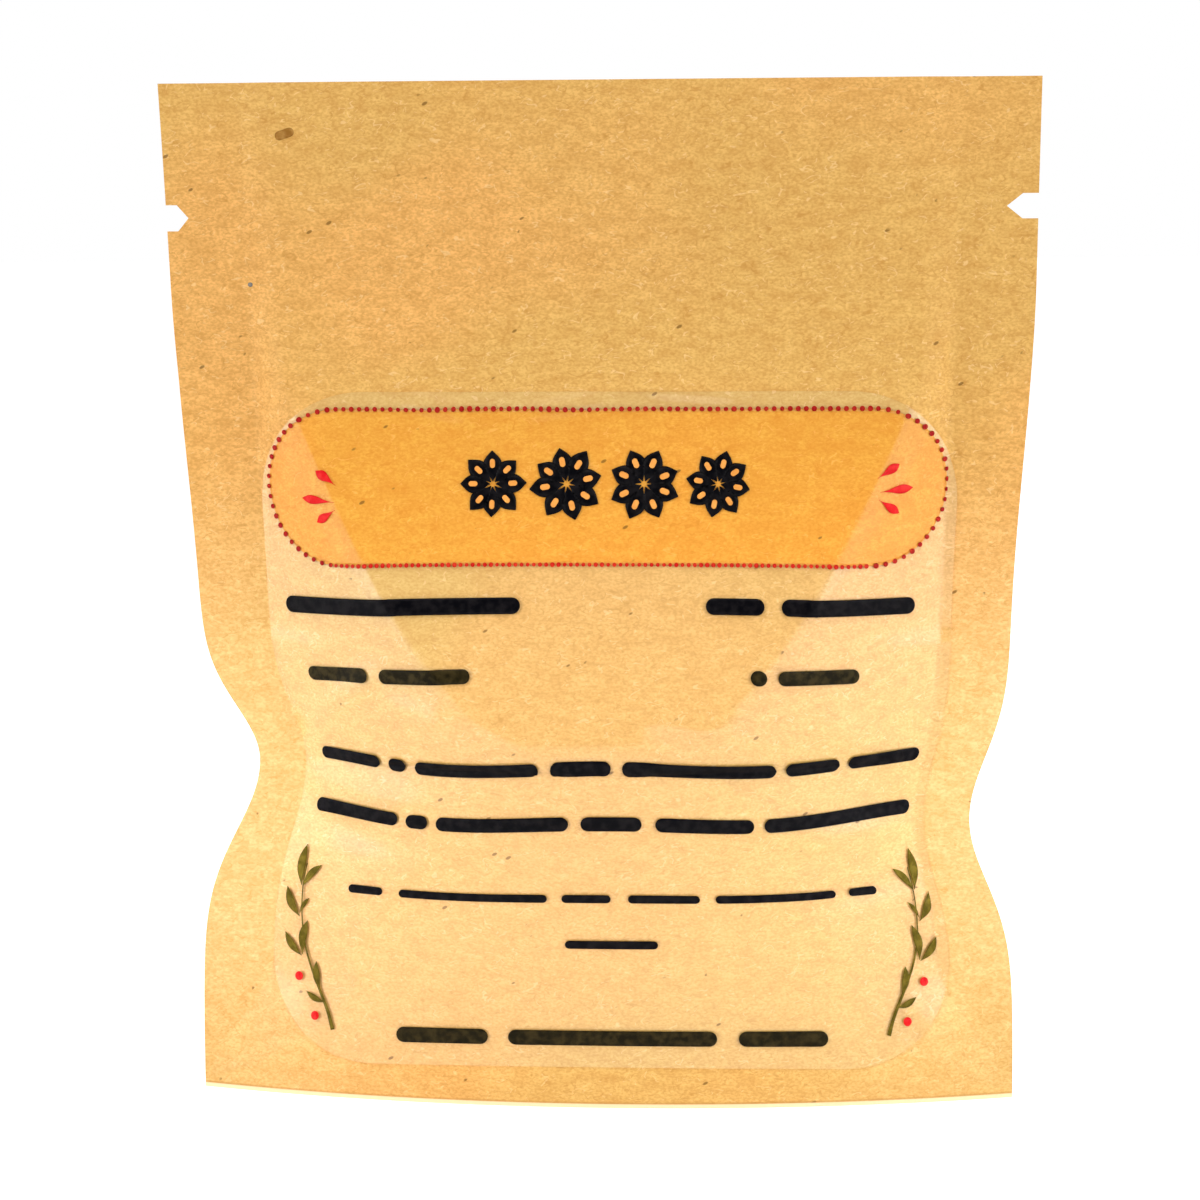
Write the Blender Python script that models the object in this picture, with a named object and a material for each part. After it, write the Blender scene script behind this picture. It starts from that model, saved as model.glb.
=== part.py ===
"""A small kraft stand-up pouch, shut and standing, with a square clear label stuck to its front.

The pouch is one closed body: two paper panels welded along both sides and the top, bulging apart
over what they hold, and a low gusset that arches up between the two bottom edges. Its front faces
-Y. A place on a panel is given by "across", from -1 at the left edge to 1 at the right edge of the
flat paper, and by its height z.
"""

import math

import bmesh
import bpy
from mathutils import Vector

# The pouch, in metres
HEIGHT = 0.084
FLAT_HALF_WIDTH = 0.0351
EDGE_THICKNESS = 0.0005
SIDE_SEAL = 0.0065
SEAL_LINE = 1 - SIDE_SEAL / FLAT_HALF_WIDTH

# How far the sides come in: a long taper below the zip, and a waist where each side is pinched
TAPER = 0.0016
TAPER_LOW, TAPER_HIGH = 0.038, 0.068
SKIRT_FLARE = 0.0006
PINCH_POWER = 2.4
WAIST = {
    -1: {"z": 0.0283, "depth": 0.0048, "above": 0.0064, "below": 0.0083},
    1: {"z": 0.0236, "depth": 0.0034, "above": 0.0075, "below": 0.0073},
}

# The middle of each panel, as (height, distance from the plane of the side seals)
FRONT_MIDDLE = ((0, 0.0045), (0.008, 0.0052), (0.018, 0.0067), (0.029, 0.0086), (0.038, 0.0073))
FRONT_MIDDLE += ((0.058, 0.0024), (0.066, 0.0010), (0.074, 0.0006), (HEIGHT, 0.0005))
BACK_MIDDLE = ((0, 0.0092), (0.010, 0.0107), (0.024, 0.0118), (0.038, 0.0095))
BACK_MIDDLE += ((0.056, 0.0040), (0.066, 0.0013), (0.074, 0.0004), (HEIGHT, 0.0001))

# Above the belly a flat facet narrows down to a point, between two ridges
FACET_POINT, FACET_TOP, FACET_HALF_WIDTH = 0.029, 0.060, 0.74

# The sealed top leans forward above the zip
LEAN_STARTS, LEAN, LEAN_POWER = 0.060, 0.0038, 1.3

# The foot: a flat rim around the gusset
RIM, GUSSET_RISE = 0.0012, 0.0028

# Tear notches, as height and depth from each side edge
NOTCH = {
    -1: {"z": 0.0733, "tall": 0.0021, "deep": 0.0018},
    1: {"z": 0.0739, "tall": 0.0020, "deep": 0.0025},
}
NOTCH_SQUARE = 0.5

# The label
LABEL_LOW, LABEL_HIGH = 0.0036, 0.0592
LABEL_LEFT, LABEL_RIGHT = -0.0287, 0.0297
LABEL_CORNER = 0.0093
LABEL_GAP, LABEL_THICKNESS = 0.0006, 0.0003

# The plane of the side seals lies where it centres the whole depth on the origin
FRONT_REACH = max(depth for _, depth in FRONT_MIDDLE) + EDGE_THICKNESS / 2 + LABEL_GAP + LABEL_THICKNESS
BACK_REACH = max(depth for _, depth in BACK_MIDDLE) + EDGE_THICKNESS / 2
SEAL_PLANE = (FRONT_REACH - BACK_REACH) / 2

# Mesh divisions
COLUMNS, ROWS, GUSSET_CELLS = 44, 40, 6
LABEL_COLUMNS, LABEL_ROWS, LABEL_CORNER_STEPS = 32, 20, 5


def smooth(low, high, value):
    """0 below low, 1 above high and an S curve between them."""
    share = min(max((value - low) / (high - low), 0.0), 1.0)
    return share * share * (3 - 2 * share)


def along(points, place):
    """The height of a smooth curve through a few (place, height) points."""
    last = len(points) - 1
    start = max(i for i in range(last) if points[i][0] <= place or i == 0)

    def slope(i):
        before, after = points[max(i - 1, 0)], points[min(i + 1, last)]
        return (after[1] - before[1]) / (after[0] - before[0])

    (x0, y0), (x1, y1) = points[start], points[start + 1]
    width = x1 - x0
    t = min(max((place - x0) / width, 0.0), 1.0)
    return (
        y0 * (2 * t**3 - 3 * t**2 + 1)
        + y1 * (3 * t**2 - 2 * t**3)
        + slope(start) * width * (t**3 - 2 * t**2 + t)
        + slope(start + 1) * width * (t**3 - t**2)
    )


def pinch(side, z):
    """How far one side edge lies inside the flat paper's edge."""
    waist = WAIST[side]
    reach = waist["above"] if z > waist["z"] else waist["below"]
    dip = waist["depth"] * math.exp(-(((z - waist["z"]) / reach) ** 2))
    taper = TAPER * (1 - smooth(TAPER_LOW, TAPER_HIGH, z))
    return taper + dip - SKIRT_FLARE * (1 - smooth(0, TAPER_LOW, z))


def seal_plane(z):
    """Where the welded side edges lie in depth."""
    return SEAL_PLANE - LEAN * (max(0.0, z - LEAN_STARTS) / (HEIGHT - LEAN_STARTS)) ** LEAN_POWER


def bulge(middle, across, z):
    """How far a panel stands out from the seal plane: flat between the ridges, falling to the seal."""
    ridge = 0.0
    if z > FACET_POINT:
        ridge = FACET_HALF_WIDTH * min(math.sqrt((z - FACET_POINT) / (FACET_TOP - FACET_POINT)), 1.0)
    seal = 1 - (1 - SEAL_LINE) * smooth(0, 0.012, z)
    fall = min(max((abs(across) - ridge) / (seal - ridge), 0.0), 1.0)
    power = 2.0 - 0.7 * smooth(0.012, 0.040, z)
    return along(middle, z) * (1 - fall**power)


def panel_point(across, z, face):
    """A point of the front (face -1) or back (face 1) panel."""
    side = 1 if across >= 0 else -1
    inward = pinch(side, z) * abs(across) ** PINCH_POWER
    x = FLAT_HALF_WIDTH * across - side * inward
    depth = bulge(FRONT_MIDDLE if face < 0 else BACK_MIDDLE, across, z)
    return Vector((x, seal_plane(z) + face * (depth + EDGE_THICKNESS / 2), z))


def front_normal(across, z):
    """The way the front panel faces, towards -Y."""
    step = 0.0004
    low, high = max(z - step, 0.0), min(z + step, HEIGHT)
    sideways = panel_point(across + step / FLAT_HALF_WIDTH, z, -1)
    sideways -= panel_point(across - step / FLAT_HALF_WIDTH, z, -1)
    upwards = panel_point(across, high, -1) - panel_point(across, low, -1)
    return sideways.cross(upwards).normalized()


def grid_faces(bm, rows):
    """Quads between the neighbouring points of equal rows, facing the side where rows run
    to the right and then up."""
    for lower, upper in zip(rows, rows[1:]):
        for i in range(len(lower) - 1):
            bm.faces.new((lower[i], lower[i + 1], upper[i + 1], upper[i]))


def make_gusset(bm, front, back):
    """Closes the foot between the two bottom edges: a flat rim, then the arch of the gusset."""
    rows = [back[1:-1]]
    for j in range(1, GUSSET_CELLS):
        row = []
        for near, far in zip(front[1:-1], back[1:-1]):
            gap = far.co.y - near.co.y
            rim = min(RIM, 0.2 * gap)
            share = (j - 1) / (GUSSET_CELLS - 2)
            y = far.co.y - rim - (gap - 2 * rim) * share
            rise = GUSSET_RISE * math.sin(math.pi * share) * smooth(0.001, 0.008, gap)
            row.append(bm.verts.new((near.co.x, y, rise)))
        rows.append(row)
    rows.append(front[1:-1])
    grid_faces(bm, rows)
    for end, order in ((0, 1), (-1, -1)):
        fan = [back[end]] + [row[end] for row in rows]
        for a, b in zip(fan, fan[1:]):
            bm.faces.new((front[end], a, b)[::order])


def new_object(name, bm, collection):
    """An object made from a bmesh, in a collection."""
    mesh = bpy.data.meshes.new(name)
    bm.to_mesh(mesh)
    bm.free()
    made = bpy.data.objects.new(name, mesh)
    collection.objects.link(made)
    return made


def new_collection(name):
    collection = bpy.data.collections.new(name)
    bpy.context.scene.collection.children.link(collection)
    return collection


def material(name, colour, roughness):
    made = bpy.data.materials.new(name)
    made.use_nodes = True
    shader = made.node_tree.nodes["Principled BSDF"]
    shader.inputs["Base Color"].default_value = (*colour, 1)
    shader.inputs["Roughness"].default_value = roughness
    shader.inputs["Metallic"].default_value = 0
    return made


def make_pouch(collection):
    """Lofts the two panels, and closes them at the sides, the top and the gusset."""
    bm = bmesh.new()
    places = [2 * i / COLUMNS - 1 for i in range(COLUMNS + 1)]
    heights = [HEIGHT * j / ROWS for j in range(ROWS + 1)]
    front = [[bm.verts.new(panel_point(a, z, -1)) for a in places] for z in heights]
    back = [[bm.verts.new(panel_point(a, z, 1)) for a in places] for z in heights]
    grid_faces(bm, front)
    grid_faces(bm, [row[::-1] for row in back])
    grid_faces(bm, [[b[0], f[0]] for f, b in zip(front, back)])
    grid_faces(bm, [[f[-1], b[-1]] for f, b in zip(front, back)])
    grid_faces(bm, [front[-1], back[-1]])
    make_gusset(bm, front[0], back[0])
    pouch = new_object("pouch", bm, collection)
    pouch.data.shade_smooth()
    pouch.data.set_sharp_from_angle(angle=math.radians(50))
    return pouch


def cut_notch(pouch, side, collection):
    """Cuts a tear notch with a square mouth and a pointed end into one side edge."""
    notch = NOTCH[side]
    edge = FLAT_HALF_WIDTH
    half, square = notch["tall"] / 2, notch["deep"] * NOTCH_SQUARE
    outline = ((edge + 0.002, half), (edge - square, half), (edge - notch["deep"], 0))
    outline += ((edge - square, -half), (edge + 0.002, -half))
    bm = bmesh.new()
    near = [bm.verts.new((side * x, -0.010, notch["z"] + up)) for x, up in outline]
    flat = bm.faces.new(near)
    swept = bmesh.ops.extrude_face_region(bm, geom=[flat])["geom"]
    moved = [item for item in swept if isinstance(item, bmesh.types.BMVert)]
    bmesh.ops.translate(bm, verts=moved, vec=(0, 0.020, 0))
    bmesh.ops.recalc_face_normals(bm, faces=bm.faces)
    cutter = new_object(f"notch_cutter_{'left' if side < 0 else 'right'}", bm, collection)
    cutter.hide_render = True
    cutter.display_type = "WIRE"
    cut = pouch.modifiers.new("tear notch", "BOOLEAN")
    cut.operation = "DIFFERENCE"
    cut.solver = "EXACT"
    cut.object = cutter


def label_rows():
    """(height, shortening at each end) of the label's rows: steps round the corners, then even."""
    turn = [math.pi / 2 * i / LABEL_CORNER_STEPS for i in range(LABEL_CORNER_STEPS + 1)]
    low = [(LABEL_LOW + LABEL_CORNER * (1 - math.cos(a)), LABEL_CORNER * (1 - math.sin(a))) for a in turn]
    high = [(LABEL_LOW + LABEL_HIGH - z, short) for z, short in reversed(low)]
    bottom, top = low[-1][0], high[0][0]
    even = [(bottom + (top - bottom) * i / LABEL_ROWS, 0.0) for i in range(1, LABEL_ROWS)]
    return low + even + high


def make_label(collection):
    """A thin sheet with round corners that follows the front panel at a small gap."""
    bm = bmesh.new()
    inner, outer = [], []
    for z, short in label_rows():
        left, right = LABEL_LEFT + short, LABEL_RIGHT - short
        layers = ([], [])
        for i in range(LABEL_COLUMNS + 1):
            across = (left + (right - left) * i / LABEL_COLUMNS) / FLAT_HALF_WIDTH
            base, away = panel_point(across, z, -1), front_normal(across, z)
            layers[0].append(bm.verts.new(base + LABEL_GAP * away))
            layers[1].append(bm.verts.new(base + (LABEL_GAP + LABEL_THICKNESS) * away))
        inner.append(layers[0])
        outer.append(layers[1])
    grid_faces(bm, outer)
    grid_faces(bm, [row[::-1] for row in inner])
    grid_faces(bm, [outer[-1], inner[-1]])
    grid_faces(bm, [inner[0], outer[0]])
    grid_faces(bm, [[i[0], o[0]] for o, i in zip(outer, inner)])
    grid_faces(bm, [[o[-1], i[-1]] for o, i in zip(outer, inner)])
    label = new_object("label", bm, collection)
    label.data.shade_smooth()
    label.data.set_sharp_from_angle(angle=math.radians(50))
    return label


def main():
    for old in list(bpy.data.objects):
        bpy.data.objects.remove(old, do_unlink=True)
    parts = new_collection("kraft stand-up pouch")
    cutters = new_collection("cutters")
    pouch = make_pouch(parts)
    for side in NOTCH:
        cut_notch(pouch, side, cutters)
    pouch.data.materials.append(material("kraft paper", (0.62, 0.38, 0.16), 0.7))
    label = make_label(parts)
    label.data.materials.append(material("clear film", (0.85, 0.62, 0.34), 0.2))


main()
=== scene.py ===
"""The looks of a small kraft stand-up pouch: uncoated brown paper, a glossy clear label with plain
print shapes, and a white table with soft light.

A place on a panel is given by "across", from -1 at the left edge of the flat paper to 1 at the
right, and by its height. A place on the label is (u, h): metres across the flat paper, and metres up
its middle line. All sizes are in metres, in the frame's own axes: the front faces -Y.
"""

import math
import random

import bpy
import numpy as np
from mathutils import Matrix, Vector


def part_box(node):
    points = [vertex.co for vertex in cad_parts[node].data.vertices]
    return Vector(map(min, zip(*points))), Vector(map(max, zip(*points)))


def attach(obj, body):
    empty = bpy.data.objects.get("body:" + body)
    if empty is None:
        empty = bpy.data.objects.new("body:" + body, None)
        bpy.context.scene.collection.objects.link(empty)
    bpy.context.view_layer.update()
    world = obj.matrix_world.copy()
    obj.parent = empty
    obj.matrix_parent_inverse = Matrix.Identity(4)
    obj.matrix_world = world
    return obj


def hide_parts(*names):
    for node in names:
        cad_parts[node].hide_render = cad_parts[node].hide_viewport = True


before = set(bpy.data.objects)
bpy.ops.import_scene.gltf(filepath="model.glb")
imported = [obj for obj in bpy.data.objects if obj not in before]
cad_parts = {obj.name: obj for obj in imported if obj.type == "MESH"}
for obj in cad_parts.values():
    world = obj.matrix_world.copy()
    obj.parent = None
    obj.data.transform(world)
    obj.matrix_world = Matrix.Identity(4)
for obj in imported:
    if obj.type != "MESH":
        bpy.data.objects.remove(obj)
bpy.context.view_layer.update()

MM = 0.001

# The pouch, as the CAD model has it
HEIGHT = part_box("pouch")[1].z
FLAT_HALF_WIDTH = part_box("pouch")[1].x
SEAL_LINE = 1 - 6.5 * MM / FLAT_HALF_WIDTH
SEAL_PLANE = -1.15 * MM
FILM = 0.3 * MM
TAPER, TAPER_LOW, TAPER_HIGH, SKIRT_FLARE = 1.6 * MM, 38 * MM, 68 * MM, 0.6 * MM
PINCH_POWER = 2.4
WAIST = {
    -1: {"z": 28.3 * MM, "depth": 4.8 * MM, "above": 6.4 * MM, "below": 8.3 * MM},
    1: {"z": 23.6 * MM, "depth": 3.4 * MM, "above": 7.5 * MM, "below": 7.3 * MM},
}
# How far the middle of each panel stands out, as (height, depth) in millimetres
FRONT_MIDDLE = (
    (0, 4.5), (8, 5.2), (18, 6.7), (29, 8.6), (38, 7.3), (58, 2.4), (66, 1.0), (74, 0.6), (84, 0.5)
)
BACK_MIDDLE = ((0, 9.2), (10, 10.7), (24, 11.8), (38, 9.5), (56, 4.0), (66, 1.3), (74, 0.4), (84, 0.1))
FACET_POINT, FACET_TOP, FACET_HALF_WIDTH = 29 * MM, 60 * MM, 0.74
LEAN_STARTS, LEAN, LEAN_POWER = 60 * MM, 3.8 * MM, 1.3
NOTCHES = {
    -1: {"z": 73.3 * MM, "tall": 2.1 * MM, "deep": 1.8 * MM},
    1: {"z": 73.9 * MM, "tall": 2.0 * MM, "deep": 2.5 * MM},
}

# The label
LABEL_LOW, LABEL_HIGH, LABEL_LEFT, LABEL_RIGHT = 3.6 * MM, 59.2 * MM, -28.7 * MM, 29.7 * MM
LABEL_CORNER = 9.3 * MM
LABEL_MIDDLE = (LABEL_LEFT + LABEL_RIGHT) / 2
# Rows of print bend over the belly, where the paper takes a longer path: how far their ends drop, and
# how far they sag between the middle and the ends, each as (height, drop) in millimetres
END_DROP = (
    (0, 0.8), (6, 0.8), (12, 0.5), (18, 0.35), (24, 0.0),
    (29, 0.1), (36, 0.9), (42, 0.6), (46, 0.3), (58, 0.0),
)
SAG = ((0, 0.0), (16, 0.1), (24, 0.6), (29, 0.65), (34, 0.2), (40, 0.0), (58, 0.0))
ARCH_SPAN = 28 * MM

random.seed(7)


# ---------------------------------------------------------------- shape


def smooth(low, high, value):
    """0 below low, 1 above high and an S curve between them."""
    share = np.clip((np.asarray(value, float) - low) / (high - low), 0.0, 1.0)
    return share * share * (3 - 2 * share)


def along(points, place):
    """A smooth curve through a few (place, height) points given in millimetres."""
    xs, ys = np.array(points, float).T * MM
    last = len(xs) - 1
    before = np.maximum(np.arange(last + 1) - 1, 0)
    after = np.minimum(np.arange(last + 1) + 1, last)
    slope = (ys[after] - ys[before]) / (xs[after] - xs[before])
    place = np.asarray(place, float)
    i = np.clip(np.searchsorted(xs, place, side="right") - 1, 0, last - 1)
    width = xs[i + 1] - xs[i]
    t = np.clip((place - xs[i]) / width, 0.0, 1.0)
    return (
        ys[i] * (2 * t**3 - 3 * t**2 + 1)
        + ys[i + 1] * (3 * t**2 - 2 * t**3)
        + slope[i] * width * (t**3 - 2 * t**2 + t)
        + slope[i + 1] * width * (t**3 - t**2)
    )


def waist_dip(side, z):
    """How far the waist pulls one side edge in."""
    waist = WAIST[side]
    reach = np.where(z > waist["z"], waist["above"], waist["below"])
    return waist["depth"] * np.exp(-(((z - waist["z"]) / reach) ** 2))


def pinch(across, z):
    """How far the side edge on the same side as across lies inside the flat paper's edge."""
    dip = np.where(across < 0, waist_dip(-1, z), waist_dip(1, z))
    taper = TAPER * (1 - smooth(TAPER_LOW, TAPER_HIGH, z))
    return taper + dip - SKIRT_FLARE * (1 - smooth(0, TAPER_LOW, z))


def seal_plane(z):
    """Where the welded side edges lie in depth."""
    return SEAL_PLANE - LEAN * (np.maximum(0, z - LEAN_STARTS) / (HEIGHT - LEAN_STARTS)) ** LEAN_POWER


def bulge(middle, across, z):
    """How far a panel stands out from the seal plane: flat between two ridges, falling to the seal."""
    rise = np.clip((z - FACET_POINT) / (FACET_TOP - FACET_POINT), 0, 1)
    ridge = FACET_HALF_WIDTH * np.sqrt(rise)
    seal = 1 - (1 - SEAL_LINE) * smooth(0, 12 * MM, z)
    fall = np.clip((np.abs(across) - ridge) / (seal - ridge), 0, 1)
    power = 2.0 - 0.7 * smooth(12 * MM, 40 * MM, z)
    return along(middle, z) * (1 - fall**power)


def zip_track(across, z):
    """The press-to-close strip shows as two low beads between the side seals."""
    ends = 1 - smooth(SEAL_LINE - 0.03, SEAL_LINE, np.abs(across))
    upper = np.exp(-(((z - 65.0 * MM) / (0.45 * MM)) ** 2))
    lower = np.exp(-(((z - 63.4 * MM) / (0.40 * MM)) ** 2))
    return ends * (0.10 * upper + 0.05 * lower) * MM


def seal_step(across, z):
    """The welded strips are pressed a little thinner than the paper beside them."""
    side = smooth(SEAL_LINE - 0.006, SEAL_LINE + 0.006, np.abs(across)) * smooth(4 * MM, 12 * MM, z)
    return -0.06 * MM * side


# Soft creases of the front: (across, height) of both ends in millimetres from the middle line and
# up, then how far it stands out and how wide it is. Those of the back are these, mirrored.
CREASES = (
    ((-29.0, 27.5), (-14.5, 25.2), 0.46, 1.3),
    ((-28.0, 31.0), (-17.0, 37.5), 0.48, 1.2),
    ((-26.5, 24.0), (-15.5, 21.5), -0.30, 1.3),
    ((-31.0, 38.6), (-22.0, 38.2), 0.22, 0.8),
    ((-22.0, 35.0), (-9.0, 31.5), 0.34, 1.3),
    ((29.5, 23.5), (16.0, 22.6), 0.38, 1.3),
    ((28.5, 28.0), (17.5, 33.0), 0.30, 1.3),
    ((27.0, 19.5), (17.0, 17.0), -0.24, 1.3),
    ((32.0, 38.4), (23.0, 38.4), 0.22, 0.8),
    ((14.0, 31.5), (3.0, 34.0), 0.30, 1.2),
    ((-18.5, 59.4), (-8.5, 56.9), 0.32, 0.9),
    ((-8.5, 56.9), (3.0, 59.3), 0.28, 0.8),
    ((1.0, 59.6), (14.0, 58.8), 0.26, 0.8),
)


def creases(across, z):
    """Soft creases of the paper, most of them by the waist."""
    x = FLAT_HALF_WIDTH * across
    height = np.zeros(np.broadcast(x, z).shape)
    for start, end, rise, width in CREASES:
        (x0, z0), (x1, z1) = np.multiply(start, MM), np.multiply(end, MM)
        length = math.hypot(x1 - x0, z1 - z0)
        forward = ((x - x0) * (x1 - x0) + (z - z0) * (z1 - z0)) / length
        sideways = ((z - z0) * (x1 - x0) - (x - x0) * (z1 - z0)) / length
        near_start = smooth(-0.1 * length, 0.4 * length, forward)
        near_end = smooth(-0.1 * length, 0.4 * length, length - forward)
        height += rise * MM * near_start * near_end * np.exp(-((sideways / (width * MM)) ** 2))
    return height


def relief(face, across, z):
    """Fine relief of a panel: the zip, the seals and the creases of the paper."""
    return zip_track(across, z) + seal_step(across, z) + creases(-face * across, z)


def panel(face, across, z, film=FILM):
    """Points of the front (face -1) or back (face 1) panel."""
    across, z = np.broadcast_arrays(np.asarray(across, float), np.asarray(z, float))
    x = FLAT_HALF_WIDTH * across - np.sign(across) * pinch(across, z) * np.abs(across) ** PINCH_POWER
    depth = bulge(FRONT_MIDDLE if face < 0 else BACK_MIDDLE, across, z)
    y = seal_plane(z) + face * (depth + relief(face, across, z) + film / 2)
    return np.stack([x, y, z], axis=-1)


def arched(u, h):
    """The height z of a place on the label."""
    out = np.abs(u - LABEL_MIDDLE) / ARCH_SPAN
    return h - along(END_DROP, h) * out**2 - along(SAG, h) * np.sin(math.pi * out) ** 2


def on_label(u, h, lift):
    """Points at a height lift above the front panel, along the way it faces."""
    step = 0.2 * MM
    across, z = u / FLAT_HALF_WIDTH, arched(u, h)
    wide = step / FLAT_HALF_WIDTH
    sideways = panel(-1, across + wide, z) - panel(-1, across - wide, z)
    upwards = panel(-1, across, z + step) - panel(-1, across, z - step)
    away = np.cross(sideways, upwards)
    away /= np.linalg.norm(away, axis=-1, keepdims=True)
    return panel(-1, across, z) + lift * away


# ---------------------------------------------------------------- meshes


def quads(ids):
    """Quads between neighbours in a table of point numbers: they face -Y where a row of the table
    runs towards +X and the rows run up."""
    corners = (ids[:-1, :-1], ids[:-1, 1:], ids[1:, 1:], ids[1:, :-1])
    return np.stack([c.ravel() for c in corners], axis=-1)


def new_piece(name, points, faces, materials):
    """An object from points and faces, which rides on the pouch's body."""
    mesh = bpy.data.meshes.new(name)
    mesh.from_pydata(points.tolist(), [], [list(f) for f in faces])
    mesh.update()
    mesh.shade_smooth()
    piece = bpy.data.objects.new(name, mesh)
    bpy.context.scene.collection.objects.link(piece)
    for material in materials:
        mesh.materials.append(material)
    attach(piece, "root")
    return piece


class Plates:
    """Gathers thin closed plates that lie on the label into one mesh."""

    def __init__(self, lift, thickness):
        self.lift, self.thickness = lift, thickness
        self.points, self.faces, self.count = [], [], 0

    def add(self, places):
        """A plate over a table of (u, h) places, whose rows run right and then up."""
        rows, columns = places.shape[:2]
        layers = [
            on_label(places[..., 0], places[..., 1], self.lift + more).reshape(-1, 3)
            for more in (0, self.thickness)
        ]
        low, high = self.count + np.arange(2 * rows * columns).reshape(2, rows, columns)
        self.points += layers
        self.faces += [
            quads(high),
            quads(low[:, ::-1]),
            quads(np.stack([high[-1], low[-1]])),
            quads(np.stack([low[0], high[0]])),
            quads(np.stack([low[:, 0], high[:, 0]], axis=1)),
            quads(np.stack([high[:, -1], low[:, -1]], axis=1)),
        ]
        self.count += 2 * rows * columns

    def piece(self, name, material, slot="film"):
        return new_piece(name, np.concatenate(self.points), np.concatenate(self.faces), [material])


def ribbon(spine, half_width, rows=5):
    """(u, h) places of a strip along a spine, with a half-width at each of its points."""
    spine = np.asarray(spine, float)
    forward = np.gradient(spine, axis=0)
    forward /= np.linalg.norm(forward, axis=-1, keepdims=True)
    left = np.stack([-forward[:, 1], forward[:, 0]], axis=-1)
    shares = np.linspace(-1, 1, rows)
    return spine[None] + shares[:, None, None] * (left * np.asarray(half_width)[:, None])[None]


def pill(centre, length, height, rows=5, step=0.4 * MM, tilt=0.0):
    """(u, h) places of a bar with round ends."""
    radius = height / 2
    turn = np.linspace(0, math.pi / 2, max(6, int(2 * radius / step)))
    cap = radius * (1 - np.cos(turn))
    straight = np.linspace(radius, length - radius, max(2, int((length - height) / step) + 2))[1:-1]
    place = np.concatenate([cap, straight, length - cap[::-1]])
    end = np.minimum(place, length - place).clip(0, radius)
    half = np.sqrt(np.maximum(radius**2 - (radius - end) ** 2, (0.02 * radius) ** 2))
    direction = np.array([math.cos(tilt), math.sin(tilt)])
    spine = np.asarray(centre) + (place - length / 2)[:, None] * direction
    return ribbon(spine, half, rows)


def petal(root, tip, width, fullest=0.5, bend=0.0, steps=12):
    """(u, h) places of a leaf or drop from its pointed root to its tip."""
    t = np.linspace(0, 1, steps)
    root, tip = np.asarray(root, float), np.asarray(tip, float)
    reach = tip - root
    sideways = np.array([-reach[1], reach[0]])
    spine = root + t[:, None] * reach + (bend * np.sin(math.pi * t))[:, None] * sideways
    peak = math.log(0.5) / math.log(fullest)
    half = width / 2 * np.maximum(np.sin(math.pi * t**peak), 0.04)
    return ribbon(spine, half)


# ---------------------------------------------------------------- materials


class Nodes:
    """Short calls for building the nodes of a material, or of the world."""

    def __init__(self, name, world=False):
        self.material = bpy.data.worlds.new(name) if world else bpy.data.materials.new(name)
        self.material.use_nodes = True
        self.tree = self.material.node_tree
        self.shader = self.tree.nodes["Background" if world else "Principled BSDF"]

    def add(self, kind, inputs=(), **settings):
        """Makes a node. Each input is a value or the socket that feeds it."""
        node = self.tree.nodes.new(kind)
        for name, value in settings.items():
            setattr(node, name, value)
        for key, value in dict(inputs).items():
            self.feed(node.inputs[key], value)
        return node

    def feed(self, socket, value):
        if isinstance(value, bpy.types.NodeSocket):
            self.tree.links.new(value, socket)
        else:
            socket.default_value = value

    def set(self, **inputs):
        """Sets the shader's inputs, with _ for a space in their names."""
        for name, value in inputs.items():
            self.feed(self.shader.inputs[name.replace("_", " ")], value)

    def place(self, scale=(1, 1, 1), turn=0.0, shift=0.0):
        """The piece's own coordinates, turned in the plane of the panels and then scaled."""
        coordinates = self.add("ShaderNodeTexCoord").outputs["Object"]
        turned = self.add(
            "ShaderNodeVectorRotate",
            {"Vector": coordinates, "Angle": turn, "Axis": (0, 1, 0)},
        )
        moved = self.add("ShaderNodeMapping", {"Vector": turned.outputs[0]})
        moved.inputs["Location"].default_value = (shift, shift, shift)
        moved.inputs["Scale"].default_value = scale
        return moved.outputs[0]

    def noise(self, place, scale=1.0, detail=2.0, distortion=0.0):
        node = self.add(
            "ShaderNodeTexNoise",
            {"Vector": place, "Scale": scale, "Detail": detail, "Distortion": distortion},
        )
        return node.outputs["Fac"]

    def between(self, value, low, high, to_low=0.0, to_high=1.0):
        """Value carried from one range to another, clamped."""
        node = self.add("ShaderNodeMapRange", {0: value, 1: low, 2: high, 3: to_low, 4: to_high})
        node.interpolation_type = "SMOOTHSTEP"
        return node.outputs[0]

    def mix(self, share, first, second, blend="MIX"):
        node = self.add("ShaderNodeMix", data_type="RGBA", blend_type=blend)
        for key, value in ((0, share), (6, first), (7, second)):
            self.feed(node.inputs[key], value)
        return node.outputs[2]

    def math(self, operation, first, second=0.0):
        return self.add("ShaderNodeMath", {0: first, 1: second}, operation=operation).outputs[0]


def strands(nodes, turn, shift, length, width, least):
    """Thin wandering fibres that lie roughly one way, broken into short stretches, as a mask."""
    place = nodes.place((1 / length, 1 / length, 1 / width), turn, shift)
    off_line = nodes.math("ABSOLUTE", nodes.math("SUBTRACT", nodes.noise(place, 1.0, 1.0, 0.4), 0.5))
    line = nodes.between(off_line, 0.022, 0.004)
    stretch = nodes.between(nodes.noise(nodes.place(shift=shift + 9), 1100, 1), least, least + 0.06)
    return nodes.math("MULTIPLY", line, stretch)


def most(nodes, *masks):
    """The strongest of several masks."""
    whole = masks[0]
    for mask in masks[1:]:
        whole = nodes.math("MAXIMUM", whole, mask)
    return whole


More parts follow.
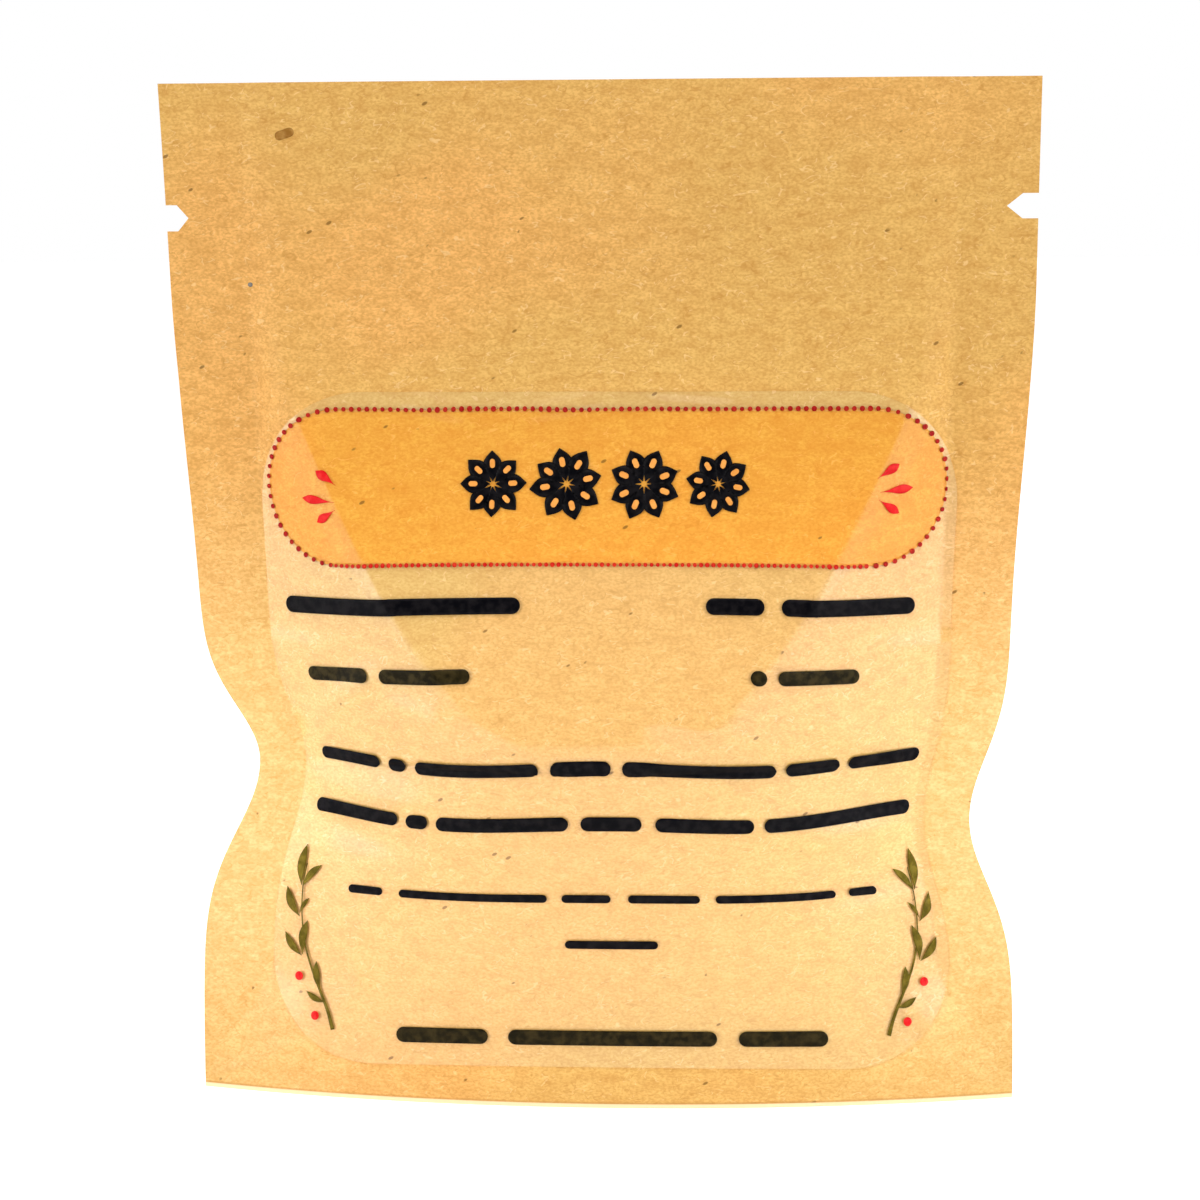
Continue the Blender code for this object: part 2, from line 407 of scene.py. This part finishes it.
def painted_backlight(nodes):
    """How much paler the paper is painted where light would come through it: painted light, low at the
    sides, with nothing behind.
    """
    place = nodes.add("ShaderNodeSeparateXYZ", {0: nodes.place()})
    low = nodes.between(place.outputs["Z"], 56 * MM, 30 * MM, 0.0, 0.85)
    out = nodes.between(nodes.math("ABSOLUTE", place.outputs["X"]), 12 * MM, 27 * MM, 0.25, 1.0)
    foot = nodes.between(place.outputs["Z"], 2 * MM, 14 * MM, 0.55, 1.0)
    return nodes.math("MULTIPLY", nodes.math("MULTIPLY", low, out), foot)


def kraft(nodes, base, deep, pale, tinge=(0.88, 1.0, 0.96, 1)):
    """Colour and height of kraft paper: tinge, streaky mottle, grain, fibres and bran-like flecks."""
    patches = nodes.between(nodes.noise(nodes.place(), 38, 1), 0.40, 0.60)
    streaks = nodes.between(nodes.noise(nodes.place((620, 620, 1250)), 1.0, 3, 0.3), 0.30, 0.70)
    grain = nodes.between(nodes.noise(nodes.place((3600, 3600, 5600)), 1.0, 2), 0.30, 0.70)
    tinted = nodes.mix(patches, base, nodes.mix(1.0, base, tinge, "MULTIPLY"))
    streaky = nodes.mix(nodes.math("MULTIPLY", streaks, 0.40), tinted, deep)
    grainy = nodes.mix(nodes.math("MULTIPLY", grain, 0.56), streaky, deep)
    dark = most(
        nodes,
        strands(nodes, 0.10, 5.3, 2.4 * MM, 0.8 * MM, 0.55),
        strands(nodes, 0.45, 8.1, 2.0 * MM, 0.7 * MM, 0.60),
        strands(nodes, -0.35, 2.6, 2.0 * MM, 0.7 * MM, 0.60),
        strands(nodes, 1.30, 6.4, 1.8 * MM, 0.6 * MM, 0.64),
    )
    light = most(
        nodes,
        strands(nodes, 0.25, 3.1, 2.2 * MM, 0.7 * MM, 0.58),
        strands(nodes, -0.20, 7.7, 2.0 * MM, 0.8 * MM, 0.60),
        strands(nodes, 0.95, 4.2, 1.6 * MM, 0.6 * MM, 0.63),
    )
    stranded = nodes.mix(nodes.math("MULTIPLY", light, 0.40), grainy, pale)
    stranded = nodes.mix(nodes.math("MULTIPLY", dark, 0.55), stranded, deep)
    bent = nodes.place((420, 420, 880), 0.5)
    cells = nodes.add("ShaderNodeTexVoronoi", {"Vector": bent, "Scale": 1.0})
    few = nodes.between(nodes.noise(nodes.place(shift=21.0), 420, 0), 0.62, 0.66)
    fleck = nodes.math("MULTIPLY", nodes.between(cells.outputs["Distance"], 0.13, 0.08), few)
    colour = nodes.mix(nodes.math("MULTIPLY", fleck, 0.80), stranded, (0.20, 0.088, 0.010, 1))
    height = nodes.math("ADD", grain, nodes.math("MULTIPLY", light, 0.8))
    return colour, nodes.math("SUBTRACT", height, nodes.math("MULTIPLY", dark, 0.4))


def kraft_paper():
    nodes = Nodes("kraft paper")
    # Painted light: the base and deep colours are painted paler low at the sides, where light comes
    # through the paper
    base = nodes.mix(painted_backlight(nodes), (0.91, 0.495, 0.148, 1), (0.95, 0.60, 0.27, 1))
    deep = nodes.mix(painted_backlight(nodes), (0.55, 0.255, 0.045, 1), (0.66, 0.34, 0.09, 1))
    colour, height = kraft(nodes, base, deep, (0.97, 0.70, 0.33, 1))
    # The cut bottom edge, partly painted light: a pale line painted as the cut edge lit by the table
    # below, with a darker line above it
    up = nodes.add("ShaderNodeSeparateXYZ", {0: nodes.place()}).outputs["Z"]
    shade = nodes.math("MULTIPLY", nodes.between(up, 0.62 * MM, 0.42 * MM), 0.55)
    colour = nodes.mix(shade, colour, (0.50, 0.24, 0.06, 1))
    colour = nodes.mix(nodes.between(up, 0.40 * MM, 0.30 * MM), colour, (0.95, 0.74, 0.45, 1))
    bump = nodes.add("ShaderNodeBump", {"Height": height, "Strength": 0.22, "Distance": 0.05 * MM})
    rough = nodes.between(nodes.noise(nodes.place(), 900, 2), 0.3, 0.7, 0.52, 0.68)
    nodes.set(Base_Color=colour, Roughness=rough, Specular_IOR_Level=0.25, Normal=bump.outputs[0])
    return nodes.material


def cut_edge():
    """The cut edge of the laminate: bare fibre over a pale film."""
    nodes = Nodes("cut edge")
    strands = nodes.between(nodes.noise(nodes.place(), 2400, 2), 0.35, 0.65)
    nodes.set(Base_Color=nodes.mix(strands, (0.72, 0.50, 0.26, 1), (0.90, 0.74, 0.50, 1)), Roughness=0.7)
    return nodes.material


def over_film(nodes, colour, gloss):
    """Finishes a material that is seen through the label's film, with the film's gloss on it."""
    waves = nodes.noise(nodes.place(), 160, 2)
    fine = nodes.noise(nodes.place(), 1400, 1)
    height = nodes.math("ADD", waves, nodes.math("MULTIPLY", fine, 0.06))
    bump = nodes.add("ShaderNodeBump", {"Height": height, "Strength": 0.25, "Distance": 0.08 * MM})
    nodes.set(Base_Color=colour, Roughness=0.6, Specular_IOR_Level=0.3 * gloss)
    nodes.set(Coat_Roughness=0.06, Coat_Weight=gloss, Coat_IOR=1.6, Coat_Normal=bump.outputs[0])
    return nodes.material


def film_on_kraft():
    nodes = Nodes("clear film on kraft")
    colour, _ = kraft(nodes, (0.84, 0.49, 0.165, 1), (0.58, 0.30, 0.07, 1), (0.93, 0.67, 0.33, 1))
    return over_film(nodes, colour, 1.0)


def panel_ink():
    """Orange ink through which the kraft still shows."""
    nodes = Nodes("orange ink")
    colour, _ = kraft(nodes, (0.93, 0.405, 0.06, 1), (0.68, 0.24, 0.02, 1), (0.95, 0.50, 0.12, 1))
    return over_film(nodes, colour, 0.35)


def ink(name, colour, shade):
    """Solid ink, printed a little unevenly."""
    nodes = Nodes(name)
    uneven = nodes.between(nodes.noise(nodes.place(), 1500, 3), 0.35, 0.7)
    return over_film(nodes, nodes.mix(uneven, (*colour, 1), (*shade, 1)), 0.06)


# ---------------------------------------------------------------- the pouch

COLUMNS, ROWS, GUSSET_ROWS = 200, 240, 14
GUSSET_RISE = 3.4 * MM


def gusset_points(front, back):
    """Points between the two bottom edges: the film's cut edge, then the arch of the gusset."""
    rows = []
    gap = front[:, 1] - back[:, 1]
    for share in np.linspace(0, 1, GUSSET_ROWS):
        inset = np.minimum(FILM, -0.2 * gap)
        row = back.copy()
        row[:, 1] = back[:, 1] - inset + share * (gap + 2 * inset)
        arch = np.sin(math.pi * share) ** 0.6
        row[:, 2] = GUSSET_RISE * arch * smooth(1 * MM, 9 * MM, -gap)
        rows.append(row)
    return np.array(rows)


def pouch_mesh():
    """Points and faces of the closed pouch, and how many of the faces come first as its panels."""
    across = np.linspace(-1, 1, COLUMNS + 1)[None, :]
    z = np.linspace(0, HEIGHT, ROWS + 1)[:, None]
    front, back = panel(-1, across, z), panel(1, across, z)
    arch = gusset_points(front[0, 1:-1], back[0, 1:-1])
    sheets = [front.reshape(-1, 3), back.reshape(-1, 3), arch.reshape(-1, 3)]
    size = front.shape[0] * front.shape[1]
    f = np.arange(size).reshape(front.shape[:2])
    b = f + size
    g = 2 * size + np.arange(arch.shape[0] * arch.shape[1]).reshape(arch.shape[:2])
    under = np.concatenate([b[:1, 1:-1], g, f[:1, 1:-1]])
    panels = [quads(f), quads(b[:, ::-1])]
    edges = [
        quads(np.stack([b[:, 0], f[:, 0]], axis=1)),
        quads(np.stack([f[:, -1], b[:, -1]], axis=1)),
        quads(np.stack([f[-1], b[-1]])),
    ]
    foot = [quads(under)]
    faces = [list(q) for group in panels + edges + foot for q in group]
    for end, order in ((0, 1), (-1, -1)):
        fan = [b[0, end], *under[:, end]]
        faces += [[f[0, end], one, two][::order] for one, two in zip(fan, fan[1:])]
    counts = [sum(len(q) for q in group) for group in (panels, edges)]
    return np.concatenate(sheets), faces, counts


def cut_notches(pouch):
    """Cuts a tear notch, square at its mouth and pointed at its end, into each side edge."""
    cutters = []
    for side, notch in NOTCHES.items():
        half, square = notch["tall"] / 2, notch["deep"] / 2
        outside, edge = FLAT_HALF_WIDTH + 2 * MM, FLAT_HALF_WIDTH
        outline = [(outside, half), (edge - square, half), (edge - notch["deep"], 0)]
        outline += [(edge - square, -half), (outside, -half)]
        points = [(side * x, y, notch["z"] + up) for y in (-10 * MM, 10 * MM) for x, up in outline]
        ring = range(5)
        faces = [list(ring), [i + 5 for i in ring][::-1]]
        faces += [[i, i + 5, (i + 1) % 5 + 5, (i + 1) % 5] for i in ring]
        if side < 0:
            faces = [f[::-1] for f in faces]
        mesh = bpy.data.meshes.new("notch cutter")
        mesh.from_pydata(points, [], faces)
        cutter = bpy.data.objects.new("notch_cutter", mesh)
        bpy.context.scene.collection.objects.link(cutter)
        cut = pouch.modifiers.new("tear notch", "BOOLEAN")
        cut.object, cut.operation, cut.solver = cutter, "DIFFERENCE", "EXACT"
        cutters.append(cutter)
    depsgraph = bpy.context.evaluated_depsgraph_get()
    cut_mesh = bpy.data.meshes.new_from_object(pouch.evaluated_get(depsgraph))
    pouch.modifiers.clear()
    pouch.data = cut_mesh
    for cutter in cutters:
        bpy.data.objects.remove(cutter, do_unlink=True)


def make_pouch():
    points, faces, (panels, edges) = pouch_mesh()
    pouch = new_piece("kraft_pouch", points, faces, [kraft_paper(), cut_edge()])
    slots = np.zeros(len(faces), np.int32)
    slots[panels : panels + edges] = 1
    pouch.data.polygons.foreach_set("material_index", slots)
    cut_notches(pouch)
    pouch.data.set_sharp_from_angle(angle=math.radians(40))
    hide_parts("pouch")
    return pouch


# ---------------------------------------------------------------- the label

FILM_LIFT, FILM_THICKNESS, INK_THICKNESS = 0.03 * MM, 0.06 * MM, 0.02 * MM
PANEL_LIFT = FILM_LIFT + FILM_THICKNESS + 0.06 * MM
PRINT_LIFT = PANEL_LIFT + INK_THICKNESS + 0.08 * MM

NEAR_BLACK = ((0.001, 0.001, 0.002), (0.008, 0.007, 0.008))
OLIVE_BLACK = ((0.009, 0.007, 0.002), (0.035, 0.025, 0.008))
RED = ((0.68, 0.010, 0.012), (0.78, 0.035, 0.03))
DARK_RED = ((0.52, 0.012, 0.008), (0.62, 0.035, 0.015))
CRIMSON = ((0.33, 0.008, 0.008), (0.45, 0.025, 0.014))
LEAF_GREEN = ((0.085, 0.062, 0.004), (0.17, 0.125, 0.014))
SEED = ((0.85, 0.36, 0.08), (0.75, 0.30, 0.06))

TITLE_LEFT, TITLE_RIGHT, TITLE_LOW, TITLE_HIGH = -27.7 * MM, 28.6 * MM, 45.5 * MM, 57.8 * MM


def make_film():
    """The clear sheet with its round corners."""
    turn = np.linspace(0, math.pi / 2, 28)
    low = LABEL_LOW + LABEL_CORNER * (1 - np.cos(turn))
    short = LABEL_CORNER * (1 - np.sin(turn))
    even = np.linspace(low[-1], LABEL_LOW + LABEL_HIGH - low[-1], 112)[1:-1]
    h = np.concatenate([low, even, (LABEL_LOW + LABEL_HIGH - low)[::-1]])
    short = np.concatenate([short, np.zeros(len(even)), short[::-1]])
    share = np.linspace(0, 1, 171)[None, :]
    left, right = (LABEL_LEFT + short)[:, None], (LABEL_RIGHT - short)[:, None]
    u = left + (right - left) * share
    sheet = Plates(FILM_LIFT, FILM_THICKNESS)
    sheet.add(np.stack([u, np.broadcast_to(h[:, None], u.shape)], axis=-1))
    film = sheet.piece("label_film", film_on_kraft())
    film.data.set_sharp_from_angle(angle=math.radians(50))
    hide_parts("label")


def make_title_panel():
    """The capsule of orange ink."""
    middle = ((TITLE_LEFT + TITLE_RIGHT) / 2, (TITLE_LOW + TITLE_HIGH) / 2)
    field = Plates(PANEL_LIFT, INK_THICKNESS)
    length, height = TITLE_RIGHT - TITLE_LEFT, TITLE_HIGH - TITLE_LOW
    field.add(pill(middle, length, height, rows=41, step=0.25 * MM))
    field.piece("title_panel", panel_ink())


def capsule_path(distance):
    """A point of the title panel's outline, clockwise from the left end of its top line."""
    radius = (TITLE_HIGH - TITLE_LOW) / 2
    straight = TITLE_RIGHT - TITLE_LEFT - 2 * radius
    arc = math.pi * radius
    middle = (TITLE_LOW + TITLE_HIGH) / 2
    sides = ((TITLE_LEFT + radius, math.pi / 2, 1), (TITLE_RIGHT - radius, -math.pi / 2, -1))
    for start, turn, heading in sides:
        if distance < straight:
            return start + heading * distance, middle + heading * radius
        distance -= straight
        if distance < arc:
            angle = turn - distance / radius
            end = start + heading * straight
            return end + radius * math.cos(angle), middle + radius * math.sin(angle)
        distance -= arc
    return None


def make_border():
    """Round dots along the title panel's outline, closer together along the bottom line."""
    red, crimson = Plates(PRINT_LIFT, INK_THICKNESS), Plates(PRINT_LIFT, INK_THICKNESS)
    distance = 0.0
    while (place := capsule_path(distance)) is not None:
        on_ends = not TITLE_LEFT + 6 * MM < place[0] < TITLE_RIGHT - 6 * MM
        bottom = place[1] < TITLE_LOW + 0.5 * MM and not on_ends
        size = (0.34 if bottom else 0.40) * MM * random.uniform(0.88, 1.12)
        dots = red if bottom else crimson
        dots.add(pill(place, size, size, rows=5))
        distance += (0.50 if bottom else 0.82 if on_ends else 0.65) * MM
    red.piece("border_dots_red", ink("red ink", *DARK_RED))
    crimson.piece("border_dots_crimson", ink("crimson ink", *CRIMSON))


def make_bursts():
    """Three red drops at each end of the title panel, pointing inwards."""
    drops = Plates(PRINT_LIFT, INK_THICKNESS)
    left = (((-21.6, 51.8), (-23.2, 53.0)), ((-21.7, 50.5), (-24.5, 50.8)), ((-21.6, 49.9), (-23.2, 48.9)))
    right = (((22.7, 52.4), (24.4, 53.5)), ((22.9, 51.3), (25.6, 51.6)), ((22.8, 50.7), (24.5, 49.6)))
    for root, tip in left + right:
        drops.add(petal(np.multiply(root, MM), np.multiply(tip, MM), 0.72 * MM, fullest=0.68))
    drops.piece("burst_drops", ink("burst red ink", *RED))


def make_stars():
    """A row of eight-pointed stars on the title panel, where the label has its title."""
    arms = Plates(PRINT_LIFT, INK_THICKNESS)
    seeds = Plates(PRINT_LIFT + 2 * INK_THICKNESS, INK_THICKNESS)
    sizes = np.array([5.6, 6.1, 6.1, 5.6]) * MM
    gap = 0.15 * MM
    left = 0.6 * MM - (sizes.sum() + gap * (len(sizes) - 1)) / 2
    for number, size in enumerate(sizes):
        centre = np.array([left + size / 2, (TITLE_LOW + TITLE_HIGH) / 2 + 0.2 * MM])
        left += size + gap
        for arm in range(8):
            angle = math.tau * (arm + 0.25 * number) / 8 + random.uniform(-0.06, 0.06)
            way = np.array([math.cos(angle), math.sin(angle)])
            reach = size / 2 * random.uniform(0.92, 1.0)
            arms.add(petal(centre + way * 0.04 * size, centre + way * reach, 0.27 * size, fullest=0.56))
            seeds.add(pill(centre + way * 0.29 * size, 0.13 * size, 0.075 * size, tilt=angle))
    arms.piece("title_stars", ink("star ink", *NEAR_BLACK))
    seeds.piece("star_seeds", ink("seed ink", *SEED))


# Rows of plain bars where the label has its words: middle height, bar height, then each bar's ends
HEADING_BARS = ((42.3, 1.3, ((-26.7, -6.2), (8.8, 13.6), (15.0, 26.2))),)
LONG_BARS = (
    (29.5, 1.2, ((-26.2, -19.5), (-18.6, -16.8), (-15.9, -4.7), (-3.7, 1.2), (2.1, 14.8), (15.6, 20.4))),
    (29.5, 1.2, ((21.2, 27.9),)),
    (24.9, 1.2, ((-26.5, -17.5), (-16.7, -14.6), (-13.8, -2.3), (-1.3, 3.6), (4.7, 13.0), (13.9, 27.9))),
    (18.4, 0.7, ((-21.7, -18.5), (-17.0, -4.2), (-3.0, 1.0), (2.4, 8.3), (9.6, 20.0), (21.2, 23.8))),
    (14.4, 0.7, ((-2.8, 4.8),)),
)
OLIVE_BARS = (
    (36.9, 1.15, ((-25.2, -19.3), (-18.2, -10.3), (12.5, 13.8), (14.7, 21.5))),
    (6.2, 1.3, ((-17.3, -9.4), (-7.7, 9.6), (11.4, 18.9))),
)


def make_bars():
    """Plain round-ended bars in place of the label's lines of words."""
    for name, rows, colours in (
        ("heading_bars", HEADING_BARS, NEAR_BLACK),
        ("text_bars", LONG_BARS, NEAR_BLACK),
        ("olive_bars", OLIVE_BARS, OLIVE_BLACK),
    ):
        bars = Plates(PRINT_LIFT, INK_THICKNESS)
        for h, height, spans in rows:
            for start, end in spans:
                middle = ((start + end) / 2 * MM, h * MM)
                bars.add(pill(middle, (end - start) * MM, height * MM, rows=7))
        bars.piece(name, ink(name.replace("_", " ") + " ink", *colours))


# The left sprig, in millimetres: its stem from the foot up, its leaves from root to tip, its berries
STEM = (
    (-23.0, 6.4), (-23.4, 7.9), (-24.2, 9.6), (-25.1, 11.6),
    (-25.7, 13.6), (-26.0, 15.8), (-26.2, 18.3), (-26.1, 20.0),
)
LEAVES = (
    ((-26.3, 18.2), (-26.5, 21.5)),
    ((-26.2, 18.1), (-24.6, 20.0)),
    ((-26.2, 15.6), (-27.7, 18.0)),
    ((-26.2, 15.9), (-25.4, 17.2)),
    ((-25.8, 12.4), (-25.4, 15.3)),
    ((-25.9, 12.3), (-27.5, 14.2)),
    ((-24.1, 9.5), (-24.5, 11.9)),
    ((-23.7, 8.6), (-25.4, 9.4)),
)
BERRIES = ((-26.1, 10.6), (-24.6, 7.5))
SPRIG_MIRROR = 0.55


def make_sprigs():
    """A curved sprig with leaves and two berries at each side, mirrored."""
    green = Plates(PRINT_LIFT, INK_THICKNESS)
    red = Plates(PRINT_LIFT + 2 * INK_THICKNESS, INK_THICKNESS)

    def placed(point, side):
        u = point[0] if side < 0 else 2 * SPRIG_MIRROR - point[0]
        return np.array([u, point[1]]) * MM

    for side in (-1, 1):
        points = np.array([placed(p, side) for p in STEM])
        knots = np.linspace(0, 1, len(points))
        t = np.linspace(0, 1, 40)
        spine = np.stack([np.interp(t, knots, points[:, k]) for k in (0, 1)], axis=-1)
        for _ in range(6):
            spine[1:-1] = (spine[:-2] + 2 * spine[1:-1] + spine[2:]) / 4
        green.add(ribbon(spine, (0.05 + 0.12 * (1 - t) ** 2) * MM))
        for root, tip in LEAVES:
            root, tip = placed(root, side), placed(tip, side)
            length = np.linalg.norm(tip - root)
            green.add(petal(root, tip, 0.26 * length, fullest=0.55, bend=-0.08 * side))
        for berry in BERRIES:
            red.add(pill(placed(berry, side), 0.72 * MM, 0.72 * MM))
    green.piece("sprig_leaves", ink("sprig ink", *LEAF_GREEN))
    red.piece("sprig_berries", ink("berry ink", *RED))


def make_flecks():
    """A large bran-like fleck and a small dark one in the paper near the top left."""
    brown, grey = Plates(0.01 * MM, 0.02 * MM), Plates(0.01 * MM, 0.02 * MM)
    brown.add(pill((-25.0 * MM, 79.95 * MM), 1.6 * MM, 0.72 * MM, tilt=0.33))
    grey.add(pill((-28.5 * MM, 67.9 * MM), 0.42 * MM, 0.36 * MM))
    brown.piece("brown_fleck", ink("bran", (0.30, 0.13, 0.02), (0.46, 0.24, 0.06)), "kraft")
    grey.piece("grey_fleck", ink("grey dirt", (0.16, 0.15, 0.14), (0.26, 0.24, 0.20)), "kraft")


# ---------------------------------------------------------------- surroundings

# The dim part of the surroundings: how high it lies in front of the pouch, and its half-width
FRONT_HEIGHT, FRONT_REACH = math.radians(18), math.radians(40)


def make_floor():
    """A white table that stays white where the camera sees it, and keeps the pouch's shadow."""
    size = 3.0
    mesh = bpy.data.meshes.new("table")
    corners = [(x * size, y * size, 0) for x, y in ((-1, -1), (1, -1), (1, 1), (-1, 1))]
    mesh.from_pydata(corners, [], [(0, 1, 2, 3)])
    floor = bpy.data.objects.new("table", mesh)
    bpy.context.scene.collection.objects.link(floor)
    nodes = Nodes("white table")
    nodes.set(Base_Color=(0.93, 0.93, 0.93, 1), Roughness=0.6)
    path = nodes.add("ShaderNodeLightPath")
    seen = nodes.math("MAXIMUM", path.outputs["Is Camera Ray"], path.outputs["Is Glossy Ray"])
    nodes.set(Emission_Color=(1, 1, 1, 1), Emission_Strength=nodes.math("MULTIPLY", seen, 0.50))
    mesh.materials.append(nodes.material)


def make_world(strength, dim):
    """Even pale light, dimmer in front of the pouch, and a white background."""
    nodes = Nodes("studio", world=True)
    bpy.context.scene.world = nodes.material
    direction = nodes.add("ShaderNodeTexCoord").outputs["Generated"]
    front = Vector((0, -math.cos(FRONT_HEIGHT), math.sin(FRONT_HEIGHT)))
    product = nodes.add("ShaderNodeVectorMath", {0: direction, 1: front}, operation="DOT_PRODUCT")
    facing = product.outputs["Value"]
    room = nodes.between(facing, math.cos(FRONT_REACH), math.cos(FRONT_REACH / 2))
    path = nodes.add("ShaderNodeLightPath")
    clear = nodes.math("MAXIMUM", path.outputs["Is Camera Ray"], path.outputs["Is Transmission Ray"])
    bright = nodes.math("MAXIMUM", clear, path.outputs["Is Glossy Ray"])
    level = nodes.between(bright, 0.0, 1.0, strength, 1.0)
    shaded = nodes.math("MULTIPLY", level, nodes.between(room, 0.0, 1.0, 1.0, dim))
    seen = nodes.math("MAXIMUM", shaded, clear)
    nodes.set(Color=(1, 1, 1, 1), Strength=seen)


def softbox(name, place, aim, size, radiance, spread=math.pi):
    """A rectangular lamp whose surface shines at a given radiance."""
    lamp = bpy.data.lights.new(name, "AREA")
    lamp.shape = "RECTANGLE"
    lamp.size, lamp.size_y = size
    lamp.energy = radiance * math.pi * size[0] * size[1]
    lamp.spread = spread
    box = bpy.data.objects.new(name, lamp)
    box.location = place
    box.rotation_euler = (Vector(aim) - Vector(place)).to_track_quat("-Z", "Y").to_euler()
    bpy.context.scene.collection.objects.link(box)
    return box


CAMERA_AIM = Vector((-0.18 * MM, -1.15 * MM, 41.87 * MM))
CAMERA_DISTANCE, CAMERA_SIDE, CAMERA_UP, CAMERA_ROLL = 0.240, 3.84, 8.0, -0.376
CAMERA_LENS, SENSOR = 87.3, 36.0


def make_camera():
    """Looks at the front from a little above and to the right."""
    side, up, roll = (math.radians(a) for a in (CAMERA_SIDE, CAMERA_UP, CAMERA_ROLL))
    back = Vector((math.sin(side) * math.cos(up), -math.cos(side) * math.cos(up), math.sin(up)))
    right = Vector((0, 0, 1)).cross(back).normalized()
    above = back.cross(right)
    rolled_right = right * math.cos(roll) + above * math.sin(roll)
    rolled_above = above * math.cos(roll) - right * math.sin(roll)
    data = bpy.data.cameras.new("camera")
    data.lens, data.sensor_width = CAMERA_LENS, SENSOR
    data.clip_start, data.clip_end = 0.01, 20.0
    camera = bpy.data.objects.new("camera", data)
    camera.matrix_world = Matrix.Translation(CAMERA_AIM + CAMERA_DISTANCE * back) @ Matrix(
        (rolled_right, rolled_above, back)
    ).transposed().to_4x4()
    bpy.context.scene.collection.objects.link(camera)
    bpy.context.scene.camera = camera


def make_light():
    aim = (0, 0, 0.045)
    make_world(0.57, 0.25)
    softbox("left softbox", (-0.34, -0.16, 0.14), aim, (0.40, 0.42), 1.75)
    softbox("right softbox", (0.34, -0.16, 0.14), aim, (0.40, 0.42), 1.85)
    softbox("top softbox", (0.0, -0.12, 0.48), aim, (0.40, 0.30), 1.8)
    narrow = math.radians(13)
    for name, side in (("left low softbox", -1), ("right low softbox", 1)):
        place, low_aim = (side * 0.26, -0.20, 0.04), (side * 0.028, 0, 0.023)
        low = softbox(name, place, low_aim, (0.05, 0.03), 0.95, narrow)
        low.visible_glossy = False


make_camera()
make_floor()
make_light()
make_pouch()
make_film()
make_title_panel()
make_border()
make_bursts()
make_stars()
make_bars()
make_sprigs()
make_flecks()

bpy.context.scene.view_settings.view_transform = "Standard"
